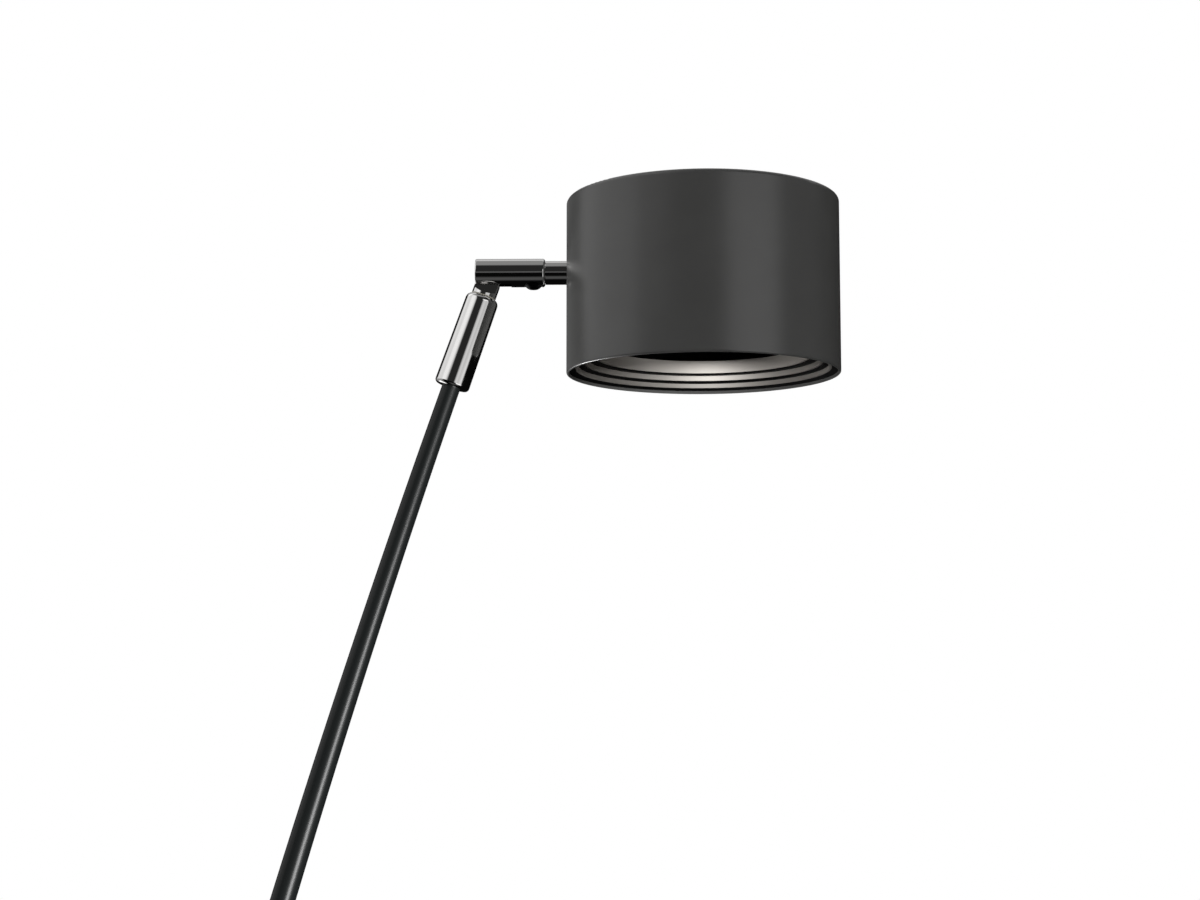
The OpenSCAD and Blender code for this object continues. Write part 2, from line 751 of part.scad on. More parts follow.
// Button-head screw under the barrel that sets how hard the head turns
module tension_screw() {
    full_h = tension_dome_h + 0.5;
    dome_r = (pow(tension_d / 2, 2) + pow(full_h, 2)) / (2 * full_h);
    key_af = 2.5;
    key_depth = 1.4;
    tip = pad_top - pad_len - seat_gap;
    color(satin_black) at_pivot() translate([tension_x, 0, 0]) difference() {
        union() {
            rotate_extrude() intersection() {
                translate([0, tension_seat - full_h + dome_r]) circle(dome_r);
                translate([0, tension_seat - tension_dome_h]) square([tension_d / 2, tension_dome_h]);
            }
            translate([0, 0, tension_seat - 0.2])
                cylinder(d = tension_shank_d - 2 * seat_gap, h = tip - tension_seat + 0.2);
        }
        translate([0, 0, tension_seat - tension_dome_h - over])
            cylinder(d = key_af / cos(30), h = key_depth + over, $fn = 6);
    }
}

// Plug that the tension screw presses into the spigot's groove
module friction_pad() {
    color(brass) at_pivot() translate([tension_x, 0, pad_top - pad_len])
        cylinder(d = pad_d, h = pad_len);
}

// Tube that carries the drum and turns in the barrel
module neck_tube() {
    color(chrome) difference() {
        union() {
            difference() {
                along_barrel(tube_start) cylinder(d = tube_d, h = drum_gap + tube_d);
                at_pivot() translate([drum_x, 0, -tube_d]) cylinder(r = drum_r, h = 2 * tube_d);
            }
            along_barrel(roll_end) cylinder(d = roll_d, h = tube_start - roll_end + over);
            along_barrel(tube_start) cylinder(d = thread_d, h = thread_end - tube_start);
        }
        along_barrel(roll_end - over) cylinder(d = tube_bore_d, h = thread_end - roll_end + 2 * over);
        along_barrel(tension_x - groove_w / 2) ring(roll_d + 2 * over, groove_d, groove_w);
    }
}

// Lead from the barrel to the lampholder
module tube_lead() {
    start = roll_end + 0.5;
    finish = contact_wall_x - contact_head_h - seat_gap;
    color(nylon) along_barrel(start) cylinder(d = tube_lead_d, h = finish - start);
}

// Spun drum, open below, with a rounded upper edge and a softened rim
module drum() {
    rim_round = 0.8 * drum_wall;
    color(graphite) difference() {
        at_rim() rotate_extrude() difference() {
            square([drum_r, drum_h]);
            translate([drum_r, drum_h]) corner_cut(drum_round);
            translate([drum_r, 0]) mirror([0, 1]) corner_cut(rim_round);
            difference() {
                translate([0, -over]) square([drum_inner_r, drum_h - drum_wall + over]);
                translate([drum_inner_r, drum_h - drum_wall])
                    corner_cut(max(drum_round - drum_wall, 0.2));
            }
        }
        along_barrel(tube_start) cylinder(d = thread_d + 2 * seat_gap, h = drum_r);
    }
}

// Washer with one face curved to the inside of the drum
module saddle_washer() {
    color(satin_black) intersection() {
        along_barrel(saddle_x - 2 * drum_wall - 5) ring(saddle_d, thread_d + 0.4, 2 * drum_wall + 5);
        at_rim() cylinder(r = drum_inner_r - seat_gap, h = drum_h, $fn = fine_fn);
    }
}

module drum_nut() {
    color(chrome) along_barrel(saddle_x) hex_nut(drum_nut_af, thread_d + 2 * seat_gap, drum_nut_h);
}

// Screw lampholder on the tube's thread
module lampholder() {
    rear_round = 3;
    cavity_d = holder_d - 6;
    color(satin_black) difference() {
        along_barrel(holder_x) rotate_extrude() difference() {
            square([holder_d / 2, holder_len]);
            translate([holder_d / 2, 0]) mirror([0, 1]) corner_cut(rear_round);
        }
        along_barrel(holder_x - over) cylinder(d = thread_d + 2 * seat_gap, h = holder_rear_wall + 2 * over);
        along_barrel(thread_end) cylinder(d = cavity_d, h = contact_wall_x - thread_end);
        along_barrel(contact_wall_x - over) cylinder(d = contact_d, h = holder_len);
        along_barrel(holder_front - shell_len) cylinder(d = shell_d, h = shell_len + over);
    }
}

module holder_shell() {
    color(brass) along_barrel(holder_front - shell_len + 0.5)
        ring(shell_d - 2 * seat_gap, cap_d + 0.6, shell_len - 1);
}

// Centre contact that the bulb's tip presses on
module holder_contact() {
    color(brass) along_barrel(contact_wall_x - contact_head_h) {
        cylinder(d = contact_d + 3, h = contact_head_h);
        cylinder(d = contact_d - 2 * seat_gap, h = contact_head_h + contact_reach);
    }
}

module bulb_cap() {
    tip_d = 6;
    shoulder_len = 4;
    start = contact_wall_x + contact_reach + 0.4;
    color(brass) along_barrel(start) {
        cylinder(d = tip_d, h = shoulder_len);
        translate([0, 0, shoulder_len - 1]) cylinder(d1 = tip_d, d2 = cap_d, h = 3);
        translate([0, 0, shoulder_len + 2 - 0.1])
            cylinder(d = cap_d, h = holder_front - start - shoulder_len - 2 + 0.1);
    }
}

// Opal globe with an open neck on its cap
module bulb_glass() {
    globe_r = bulb_d / 2;
    globe_z = bulb_x - holder_front;
    color("#f4f2ea") along_barrel(holder_front) rotate_extrude() difference() {
        bulb_outline(globe_r, bulb_neck_d / 2, globe_z);
        bulb_outline(globe_r - glass_wall, bulb_neck_d / 2 - glass_wall, globe_z);
    }
}
// Half outline of a globe on a straight neck
module bulb_outline(globe_r, neck_r, globe_z) {
    intersection() {
        translate([0, globe_z]) circle(globe_r);
        translate([0, globe_z - globe_r]) square([globe_r, 2 * globe_r]);
    }
    square([neck_r, globe_z]);
}

// Black stepped carrier pressed into the drum's mouth
module baffle_carrier() {
    outer_r = drum_inner_r - seat_gap;
    lower_step = lower_ring_r + ring_t + seat_gap;
    upper_step = upper_ring_r + ring_t + seat_gap;
    band_step = band_r + ring_t + seat_gap;
    lower_ledge = lower_ring_z + lower_ring_h;
    upper_ledge = upper_ring_z + upper_ring_h;
    top = upper_ledge + carrier_top_h;
    color(satin_black) at_rim() rotate_extrude() polygon([
        [outer_r, baffle_lift], [lower_step, lower_ring_z], [lower_step, lower_ledge],
        [upper_step, lower_ledge], [upper_step, upper_ledge], [band_step, upper_ledge],
        [band_step, top], [outer_r, top]]);
}

// Bright ring between two radii about the drum's axis
module bright_ring(inner_r, foot_z, height) {
    color(satin_silver) at_rim() translate([0, 0, foot_z])
        ring(2 * (inner_r + ring_t), 2 * inner_r, height);
}
module lower_bright_ring() {
    bright_ring(lower_ring_r, lower_ring_z, lower_ring_h);
}
module upper_bright_ring() {
    bright_ring(upper_ring_r, upper_ring_z, upper_ring_h);
}

// Satin band above the rings, with a flange that rests on the carrier
module reflector_band() {
    lean = 2;
    flange_w = 6;
    flange_z = upper_ring_z + upper_ring_h + carrier_top_h;
    color(satin_silver) at_rim() rotate_extrude() difference() {
        union() {
            translate([0, band_z]) square([band_r + ring_t, band_h]);
            translate([0, flange_z]) square([band_r + ring_t + flange_w, ring_t]);
        }
        polygon([[0, band_z - over], [band_r + lean * over / band_h, band_z - over],
                 [band_r - lean, band_z + band_h], [band_r - lean, band_z + band_h + over],
                 [0, band_z + band_h + over]]);
    }
}

base_pad();
base_weight();
base_cover();
base_socket();
socket_washer();
socket_nut();
thrust_washer();
cord_inlet();
inlet_nut();
terminal_block();
terminal_screws();
switch_body();
switch_bezel();
switch_button();
swivel_foot();
swivel_clip();
foot_grub_screw();
stem_tube();
stem_lead();
upper_sleeve();
neck_bush();
neck();
neck_clip();
barrel();
pivot_pin();
friction_washers();
tension_screw();
friction_pad();
neck_tube();
tube_lead();
drum();
saddle_washer();
drum_nut();
lampholder();
holder_shell();
holder_contact();
bulb_cap();
bulb_glass();
baffle_carrier();
lower_bright_ring();
upper_bright_ring();
reflector_band();
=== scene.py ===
# %% [markdown]
# # A floor lamp with a drum head
#
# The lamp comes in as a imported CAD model: a drum on a chrome knuckle, a bowed and
# tapering black stem, and a round weighted base. CAD fixes every size and joint.
# Blender gives each piece its finish, swaps the faceted stem for a smooth one, and
# sets up the studio and the camera.

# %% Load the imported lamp
import json
import math

import bmesh
import bpy
from mathutils import Matrix, Vector


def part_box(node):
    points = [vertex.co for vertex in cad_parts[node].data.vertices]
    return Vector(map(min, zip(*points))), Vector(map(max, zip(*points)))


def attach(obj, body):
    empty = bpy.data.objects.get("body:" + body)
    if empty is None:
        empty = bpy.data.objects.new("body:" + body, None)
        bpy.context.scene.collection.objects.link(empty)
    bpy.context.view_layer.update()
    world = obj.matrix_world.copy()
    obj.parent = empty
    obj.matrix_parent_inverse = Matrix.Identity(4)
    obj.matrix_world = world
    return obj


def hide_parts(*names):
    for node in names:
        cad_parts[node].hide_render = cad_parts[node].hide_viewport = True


MM = 0.001

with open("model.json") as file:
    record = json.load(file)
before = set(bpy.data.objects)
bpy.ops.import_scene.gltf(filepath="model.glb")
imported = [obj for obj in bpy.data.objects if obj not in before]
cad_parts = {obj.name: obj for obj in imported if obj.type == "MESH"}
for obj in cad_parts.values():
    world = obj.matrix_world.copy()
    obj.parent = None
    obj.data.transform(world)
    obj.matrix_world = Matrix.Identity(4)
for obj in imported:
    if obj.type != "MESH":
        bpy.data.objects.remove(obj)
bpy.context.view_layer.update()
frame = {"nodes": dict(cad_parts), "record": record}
nodes = frame["nodes"]

# %% [markdown]
# ## Camera
#
# The picture was taken from a little below the head, about a metre in front of it.
# The lens and place come from fitting the drum's upper edge, lower rim and sides.
# The frame is 1200 by 900 pixels, so the long side sets the sensor width.

# %% Place the camera
FRAME_WIDTH = 1200
FOCAL_PIXELS = 2095.1
SENSOR_WIDTH = 36.0
CAMERA_PLACE = Vector((367.4, -1058.2, 997.1)) * MM
CAMERA_PITCH = 0.1206
CAMERA_TURN = 0.0215
NEAREST_SEEN = 0.05
FARTHEST_SEEN = 50

camera_data = bpy.data.cameras.new("photo_camera")
camera_data.sensor_fit = "HORIZONTAL"
camera_data.sensor_width = SENSOR_WIDTH
camera_data.lens = SENSOR_WIDTH * FOCAL_PIXELS / FRAME_WIDTH
camera_data.clip_start = NEAREST_SEEN
camera_data.clip_end = FARTHEST_SEEN
camera = bpy.data.objects.new("photo_camera", camera_data)
camera.location = CAMERA_PLACE
camera.rotation_euler = (math.radians(90) + CAMERA_PITCH, 0, CAMERA_TURN)
bpy.context.scene.collection.objects.link(camera)
bpy.context.scene.camera = camera
print("lens", round(camera_data.lens, 1), "mm")

# %% [markdown]
# ## Two helpers for node trees
#
# Shaders take linear colour, while a colour given as hex is sRGB, so one function
# converts hex values. A second one adds a node, sets it up and links it, which keeps
# each finish short enough to read.


# %% Colour and node helpers
def srgb(code):
    """Linear RGBA for a hex sRGB colour."""
    channels = [int(code[i:i + 2], 16) / 255 for i in (1, 3, 5)]
    linear = [c / 12.92 if c <= 0.04045 else ((c + 0.055) / 1.055) ** 2.4 for c in channels]
    return (*linear, 1.0)


def add_node(tree, kind, values=(), links=(), **settings):
    """Add a shader node with its settings, socket values and incoming links."""
    node = tree.nodes.new("ShaderNode" + kind)
    for name, value in settings.items():
        setattr(node, name, value)
    for socket, value in dict(values).items():
        node.inputs[socket].default_value = value
    for socket, source in dict(links).items():
        tree.links.new(source, node.inputs[socket])
    return node


print("middle grey is", round(srgb("#808080")[0], 3), "in linear light")

# %% [markdown]
# ## Studio
#
# Polished chrome shows the studio more than itself, so the studio is drawn first.
# A large soft light stands at the left, a lower one at the front right, a dim one
# overhead and behind, and the rest is dark. They are painted on the world as soft
# windows of azimuth and elevation. Only the camera sees plain white, as behind a
# cut-out product picture.

# %% Paint the studio lights on the world
# Azimuth 0 looks from the lamp to the camera and grows to the right. Angles are in
# degrees. A light with no azimuth goes all the way round, and one that reaches past
# the zenith has no upper edge.
SOFT_LIGHTS = [
    {"name": "left low", "azimuth": -91, "half_width": 34, "low": 3, "high": 17,
     "soft": 5, "radiance": 1.15},
    {"name": "left high", "azimuth": -75, "half_width": 45, "low": 17, "high": 58,
     "soft": 6, "radiance": 1.25},
    {"name": "left key", "azimuth": -56, "half_width": 14, "low": 17, "high": 58,
     "soft": 6, "radiance": 0.3},
    {"name": "left skirting", "azimuth": -106, "half_width": 34, "low": -25, "high": 1,
     "soft": 5, "radiance": 0.5},
    {"name": "left floor", "azimuth": -126, "half_width": 20, "low": -46, "high": -22,
     "soft": 5, "radiance": 2.4},
    {"name": "left back", "azimuth": -154, "half_width": 20, "low": 2, "high": 16,
     "soft": 4, "radiance": 0.16},
    {"name": "right", "azimuth": 41, "half_width": 22, "low": -8, "high": 16,
     "soft": 6, "radiance": 0.9},
    {"name": "right high", "azimuth": 41, "half_width": 23, "low": 6, "high": 22,
     "soft": 4, "radiance": 0.95},
    {"name": "right low", "azimuth": 43, "half_width": 20, "low": -42, "high": -9,
     "soft": 7, "radiance": 2.2},
    {"name": "right side", "azimuth": 92, "half_width": 18, "low": -4, "high": 24,
     "soft": 6, "radiance": 0.14},
    {"name": "behind", "azimuth": 180, "half_width": 80, "low": 31, "high": 72,
     "soft": 8, "radiance": 0.75},
    {"name": "ceiling", "azimuth": None, "low": 58, "high": 120, "soft": 7, "radiance": 0.42},
    {"name": "front wall", "azimuth": -10, "half_width": 55, "low": 2, "high": 60,
     "soft": 6, "radiance": 0.03},
    {"name": "floor edge", "azimuth": 0, "half_width": 35, "low": -6, "high": 2,
     "soft": 3, "radiance": 0.2},
    {"name": "front floor", "azimuth": 0, "half_width": 45, "low": -72, "high": -44,
     "soft": 9, "radiance": 0.12},
]
DARK_STUDIO = 0.004
ZENITH = 90
WHITE = (1, 1, 1, 1)
SMOOTH = {"interpolation_type": "SMOOTHSTEP"}

world = bpy.data.worlds.new("studio")
bpy.context.scene.world = world
world.use_nodes = True
sky = world.node_tree
sky.nodes.clear()
direction = add_node(sky, "TexCoord").outputs["Generated"]
height = add_node(sky, "SeparateXYZ", links={"Vector": direction}).outputs["Z"]
flat = add_node(sky, "VectorMath", {1: (1, 1, 0)}, {0: direction}, operation="MULTIPLY")
heading = add_node(sky, "VectorMath", links={0: flat.outputs[0]}, operation="NORMALIZE").outputs[0]

total = None
for light in SOFT_LIGHTS:
    low, high, soft = (math.radians(light[key]) for key in ("low", "high", "soft"))
    lower_edge = {"From Min": math.sin(low - soft), "From Max": math.sin(low + soft)}
    window = add_node(sky, "MapRange", lower_edge, {"Value": height}, **SMOOTH).outputs[0]
    if light["high"] < ZENITH:
        upper_edge = {"From Min": math.sin(high + soft), "From Max": math.sin(high - soft)}
        below = add_node(sky, "MapRange", upper_edge, {"Value": height}, **SMOOTH).outputs[0]
        window = add_node(sky, "Math", links={0: window, 1: below}, operation="MULTIPLY").outputs[0]
    if light["azimuth"] is not None:
        turn = math.radians(light["azimuth"])
        half_width = math.radians(light["half_width"])
        facing = add_node(sky, "VectorMath", {1: (math.sin(turn), -math.cos(turn), 0)}, {0: heading},
                          operation="DOT_PRODUCT").outputs["Value"]
        side_edge = {"From Min": math.cos(half_width + soft), "From Max": math.cos(half_width - soft)}
        across = add_node(sky, "MapRange", side_edge, {"Value": facing}, **SMOOTH).outputs[0]
        window = add_node(sky, "Math", links={0: window, 1: across}, operation="MULTIPLY").outputs[0]
    glow = {2: DARK_STUDIO} if total is None else {}
    carry = {} if total is None else {2: total}
    total = add_node(sky, "Math", {1: light["radiance"], **glow}, {0: window, **carry},
                     operation="MULTIPLY_ADD").outputs[0]
studio = add_node(sky, "Background", links={"Strength": total})
backdrop = add_node(sky, "Background", {"Color": WHITE})
seen = add_node(sky, "LightPath").outputs["Is Camera Ray"]
choice = add_node(sky, "MixShader", links={0: seen, 1: studio.outputs[0], 2: backdrop.outputs[0]})
add_node(sky, "OutputWorld", links={"Surface": choice.outputs[0]})
bpy.context.scene.view_settings.view_transform = "Standard"
print("studio lights:", len(SOFT_LIGHTS))

# %% [markdown]
# ## Small lights
#
# Some places need a light of their own. One behind the camera shines under the near
# rim into the drum's mouth, with its power split by piece. A very small one below the
# mouth catches the far lip, and one low at the back left catches the near rim and the
# drum's left edge. These two stand close to the drum, so they ride on the head and
# light it alike in every pose. Light linking keeps each off the rest of the lamp.


# %% Add the linked lights
def add_panel(name, place, target, size, watts, receivers):
    """A rectangular area light that lights only the given objects."""
    data = bpy.data.lights.new(name, "AREA")
    data.shape = "RECTANGLE"
    data.size, data.size_y = size
    data.energy = watts
    panel = bpy.data.objects.new(name, data)
    panel.location = place
    panel.rotation_euler = (target - place).to_track_quat("-Z", "Y").to_euler()
    panel.visible_camera = False
    bpy.context.scene.collection.objects.link(panel)
    lit = bpy.data.collections.new(name + "_lit")
    for piece in receivers:
        lit.objects.link(piece)
    panel.light_linking.receiver_collection = lit
    return panel


mouth_low, mouth_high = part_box("reflector_band")
mouth = (mouth_low + mouth_high) / 2
MOUTH_LIGHT_OFFSET = Vector((-230, -1650, -164)) * MM
MOUTH_LIGHT_SIZE = (300 * MM, 120 * MM)
MOUTH_WATTS = {
    "reflector_band": 62,
    "upper_bright_ring": 42,
    "lower_bright_ring": 25,
    "baffle_carrier": 6,
}
for name, watts in MOUTH_WATTS.items():
    add_panel("light_on_" + name, mouth + MOUTH_LIGHT_OFFSET, mouth, MOUTH_LIGHT_SIZE, watts, [nodes[name]])

drum_low, drum_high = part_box("drum")
LIP_INSET = Vector((0, -1, 1.5)) * MM
far_lip = Vector((mouth.x, drum_high.y, drum_low.z)) + LIP_INSET
LIP_LIGHT_OFFSET = Vector((0, -90, -60)) * MM
LIP_LIGHT_SIZE = (100 * MM, 20 * MM)
LIP_WATTS = 0.018
LIP_SPREAD = math.radians(70)
lip_light = add_panel("lip_light", far_lip + LIP_LIGHT_OFFSET, far_lip, LIP_LIGHT_SIZE, LIP_WATTS,
                      [nodes["drum"]])
lip_light.data.spread = LIP_SPREAD
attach(lip_light, "head")

RIM_INSET = Vector((13, 29, 0)) * MM
near_rim = drum_low + RIM_INSET
RIM_LIGHT_OFFSET = Vector((-381, 544, -448)) * MM
RIM_LIGHT_SIZE = (200 * MM, 200 * MM)
RIM_WATTS = 3.2
rim_light = add_panel("rim_light", near_rim + RIM_LIGHT_OFFSET, near_rim, RIM_LIGHT_SIZE, RIM_WATTS,
                      [nodes["drum"]])
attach(rim_light, "head")
print("linked lights:", len(bpy.data.lights))

# %% [markdown]
# ## Floor
#
# The floor lies outside the photographed view and serves the other views. It is a
# pale disc that fades to the white backdrop at its rim. Reflections and bounced
# light pass it by, so that the studio alone decides what the chrome shows.

# %% Lay the floor
FLOOR_RADIUS = 6.0
FLOOR_SIDES = 128
FLOOR_COLOUR = (0.9, 0.9, 0.9, 1)
FADE_START = 0.6
FADE_END = 3.2
FLOOR_LIFT = 0.55

floor_mesh = bpy.data.meshes.new("studio_floor")
floor_shape = bmesh.new()
bmesh.ops.create_circle(floor_shape, cap_ends=True, segments=FLOOR_SIDES, radius=FLOOR_RADIUS)
floor_shape.to_mesh(floor_mesh)
floor_shape.free()
floor = bpy.data.objects.new("studio_floor", floor_mesh)
bpy.context.scene.collection.objects.link(floor)
floor.visible_glossy = False
floor.visible_diffuse = False
floor.visible_shadow = False
floor_paint = bpy.data.materials.new("pale_floor")
floor_paint.use_nodes = True
tree = floor_paint.node_tree
tree.nodes.clear()
place = add_node(tree, "TexCoord").outputs["Object"]
reach = add_node(tree, "VectorMath", links={0: place}, operation="LENGTH").outputs["Value"]
fade = add_node(tree, "MapRange", {"From Min": FADE_START, "From Max": FADE_END}, {"Value": reach},
                **SMOOTH).outputs[0]
pale = add_node(tree, "BsdfDiffuse", {"Color": FLOOR_COLOUR})
lift = add_node(tree, "Emission", {"Color": WHITE, "Strength": FLOOR_LIFT})
lit = add_node(tree, "AddShader", links={0: pale.outputs[0], 1: lift.outputs[0]})
white = add_node(tree, "Emission", {"Color": WHITE})
mixed = add_node(tree, "MixShader", links={0: fade, 1: lit.outputs[0], 2: white.outputs[0]})
add_node(tree, "OutputMaterial", links={"Surface": mixed.outputs[0]})
floor_mesh.materials.append(floor_paint)
print("floor reaches", FLOOR_RADIUS, "m each way")

# %% [markdown]
# ## Finishes
#
# Every finish starts the same way: a principled shader whose even values sit on its
# own sockets, and Object coordinates, which are metres on the lamp itself. Patterns
# are sized in millimetres. Short helpers make a noise of a given size, let a pattern
# choose between two colours, vary the gloss by it, and raise a fine relief from it.


# %% Helpers for finishes
def start_finish(name, colour, **sockets):
    """A material with a principled shader; sockets are its even values."""
    finish = bpy.data.materials.new(name)
    finish.use_nodes = True
    shader = finish.node_tree.nodes["Principled BSDF"]
    shader.inputs["Base Color"].default_value = srgb(colour)
    for socket, value in sockets.items():
        shader.inputs[socket.replace("_", " ")].default_value = value
    where = add_node(finish.node_tree, "TexCoord").outputs["Object"]
    return finish, finish.node_tree, shader, where


def scale_for(size_mm):
    """Noise scale whose features are about this many millimetres wide."""
    return 1 / (size_mm * MM)


def add_noise(tree, place, size_mm, detail, roughness=0.5):
    """A noise pattern with features of the given size."""
    values = {"Scale": scale_for(size_mm), "Detail": detail, "Roughness": roughness}
    return add_node(tree, "TexNoise", values, {"Vector": place}).outputs["Fac"]


def two_tones(tree, pattern, dark, light, start=0, end=1):
    """A colour that goes from dark to light while the pattern goes from start to end."""
    ramp = add_node(tree, "ValToRGB", links={"Fac": pattern})
    for stop, position, code in zip(ramp.color_ramp.elements, (start, end), (dark, light)):
        stop.position = position
        stop.color = srgb(code)
    return ramp.outputs[0]


def vary_gloss(tree, shader, pattern, low, high, start=0, end=1):
    """Move the roughness from low to high while the pattern goes from start to end."""
    values = {"From Min": start, "From Max": end, "To Min": low, "To Max": high}
    gloss = add_node(tree, "MapRange", values, {"Value": pattern}).outputs[0]
    tree.links.new(gloss, shader.inputs["Roughness"])
    return gloss


def add_relief(tree, shader, pattern, strength, depth_mm):
    """Raise the surface where the pattern is high."""
    values = {"Strength": strength, "Distance": depth_mm * MM}
    bump = add_node(tree, "Bump", values, {"Height": pattern})
    tree.links.new(bump.outputs[0], shader.inputs["Normal"])


finishes = {}
print("a 0.8 mm grain needs a noise scale of", round(scale_for(0.8)))

# %% [markdown]
# ### Graphite powder coat
#
# The drum and the base cover are spun steel with a baked polyester powder coat. The
# powder flows into a very fine orange peel and leaves a satin grey that spreads each
# light into a soft band. The peel is about 0.8 mm across, and drawn at that size.

# %% Graphite powder coat
finish, tree, shader, where = start_finish("graphite_powder_coat", "#5f5f5e", Roughness=0.3, IOR=1.5)
mottle = add_noise(tree, where, size_mm=26, detail=3)
shade = two_tones(tree, mottle, dark="#5d5d5c", light="#616160", start=0.3, end=0.7)
tree.links.new(shade, shader.inputs["Base Color"])
peel = add_noise(tree, where, size_mm=0.8, detail=2)
gloss = vary_gloss(tree, shader, peel, low=0.27, high=0.33)
add_relief(tree, shader, peel, strength=0.08, depth_mm=0.02)
finishes["graphite_paint"] = finish
print("made", finish.name)

# %% [markdown]
# ### Painted shade inside the drum
#
# Behind the baffle the drum's coat gets painted shade: darkened nearly to black, matt and
# with less specular, for the shade inside the drum. The zone lies within the drum's wall,
# from just under the baffle's top edge up to the drum's top. Nodes measure it on the lamp
# itself and darken the coat made above. The base cover shares that coat and lies outside the zone.

# %% Painted shade inside the drum
SHADE_FROM = 10 * MM
HALF_WALL = 0.6 * MM
INSIDE_PAINTED_SHADE = 0.06
INSIDE_MATTNESS = 0.45
OUTSIDE_SPECULAR = 0.5
INSIDE_SPECULAR = 0.15

drum_axis = Vector((mouth.x, mouth.y, 0))
inner_radius = (drum_high.y - drum_low.y) / 2 - HALF_WALL
level = add_node(tree, "SeparateXYZ", links={"Vector": where}).outputs["Z"]
flat = add_node(tree, "VectorMath", {1: (1, 1, 0)}, {0: where}, operation="MULTIPLY").outputs[0]
reach = add_node(tree, "VectorMath", {1: drum_axis}, {0: flat}, operation="DISTANCE").outputs["Value"]
within = add_node(tree, "Math", {1: inner_radius}, {0: reach}, operation="LESS_THAN").outputs[0]
above = add_node(tree, "Math", {1: drum_low.z + SHADE_FROM}, {0: level}, operation="GREATER_THAN").outputs[0]
below = add_node(tree, "Math", {1: drum_high.z - HALF_WALL}, {0: level}, operation="LESS_THAN").outputs[0]
between = add_node(tree, "Math", links={0: above, 1: below}, operation="MULTIPLY").outputs[0]
inside = add_node(tree, "Math", links={0: within, 1: between}, operation="MULTIPLY").outputs[0]

# Painted shade: inside the drum the coat's colour is scaled down nearly to black.
painted_shade = add_node(tree, "MapRange", {"To Min": 1, "To Max": INSIDE_PAINTED_SHADE}, {"Value": inside}).outputs[0]
colour = add_node(tree, "VectorMath", links={0: shade, "Scale": painted_shade}, operation="SCALE")
tree.links.new(colour.outputs[0], shader.inputs["Base Color"])
matt = add_node(tree, "Math", {1: INSIDE_MATTNESS}, {0: inside, 2: gloss}, operation="MULTIPLY_ADD")
tree.links.new(matt.outputs[0], shader.inputs["Roughness"])
# Less specular reflection inside the drum, as part of the painted shade.
specular = {"To Min": OUTSIDE_SPECULAR, "To Max": INSIDE_SPECULAR}
shine = add_node(tree, "MapRange", specular, {"Value": inside})
tree.links.new(shine.outputs[0], shader.inputs["Specular IOR Level"])
# The radius printed below bounds the painted shade inside the drum.
print("black inside of", round(inner_radius / MM, 1), "mm radius")

# %% [markdown]
# ### Satin black coat
#
# The stem is drawn steel tube under a thin black coat, with less peel than the drum.
# On so thin a tube a light makes one narrow highlight. Drawing leaves faint long
# streaks under the coat, so the noise is stretched along the stem.

# %% Satin black coat
STREAK_STRETCH = 25
finish, tree, shader, where = start_finish("satin_black_coat", "#131515", Roughness=0.31, IOR=1.3)
along = add_node(tree, "Mapping", {"Scale": (1, 1, 1 / STREAK_STRETCH)}, {"Vector": where}).outputs[0]
streak = add_noise(tree, along, size_mm=1.5, detail=3)
vary_gloss(tree, shader, streak, low=0.29, high=0.33)
peel = add_noise(tree, where, size_mm=0.9, detail=2)
add_relief(tree, shader, peel, strength=0.03, depth_mm=0.02)
finishes["black_paint"] = finish
print("made", finish.name)

# %% [markdown]
# ### Polished chrome plate
#
# The knuckle, sleeve and foot are turned brass, polished and chrome plated. Chrome
# is a neutral mirror that returns nearly two thirds of the light. Wiping leaves
# cloudy patches where it is a touch less sharp.

# %% Polished chrome plate
finish, tree, shader, where = start_finish("polished_chrome_plate", "#d2d1d0", Metallic=1.0,
                                           Roughness=0.07)
wipe = add_noise(tree, where, size_mm=7, detail=4)
vary_gloss(tree, shader, wipe, low=0.05, high=0.1, start=0.3, end=0.7)
finishes["chrome"] = finish
print("made", finish.name)

# %% [markdown]
# ### Turned satin aluminium
#
# The two bright rings and the reflector band are turned on a lathe and left satin.
# The tool leaves fine circular lines, which run level round the drum and spread a
# reflection up and down. Real lines are about 0.1 mm apart, and 0.5 mm is drawn so
# that they show. At scale 1 a wave texture repeats every 0.314 m, which sets its scale.

# %% Turned satin aluminium
LINE_SPACING = 0.5
WAVE_PERIOD = 0.314
finish, tree, shader, where = start_finish("turned_satin_aluminium", "#aba7a2", Metallic=1.0,
                                           Roughness=0.64)
wave = {"Scale": WAVE_PERIOD / (LINE_SPACING * MM), "Distortion": 0.6}
lines = add_node(tree, "TexWave", wave, {"Vector": where}, bands_direction="Z").outputs["Fac"]
vary_gloss(tree, shader, lines, low=0.6, high=0.68)
add_relief(tree, shader, lines, strength=0.25, depth_mm=0.03)
finishes["satin_aluminium"] = finish
print("made", finish.name)

# %% [markdown]
# ### Moulded and rubber parts
#
# The baffle carrier, switch, washers, lampholder and lead are moulded. They differ in
# colour, gloss and grain, so one loop makes them from a short table. The grain is a
# spark-eroded texture from the mould, about 0.1 mm, drawn coarser so that it shows.

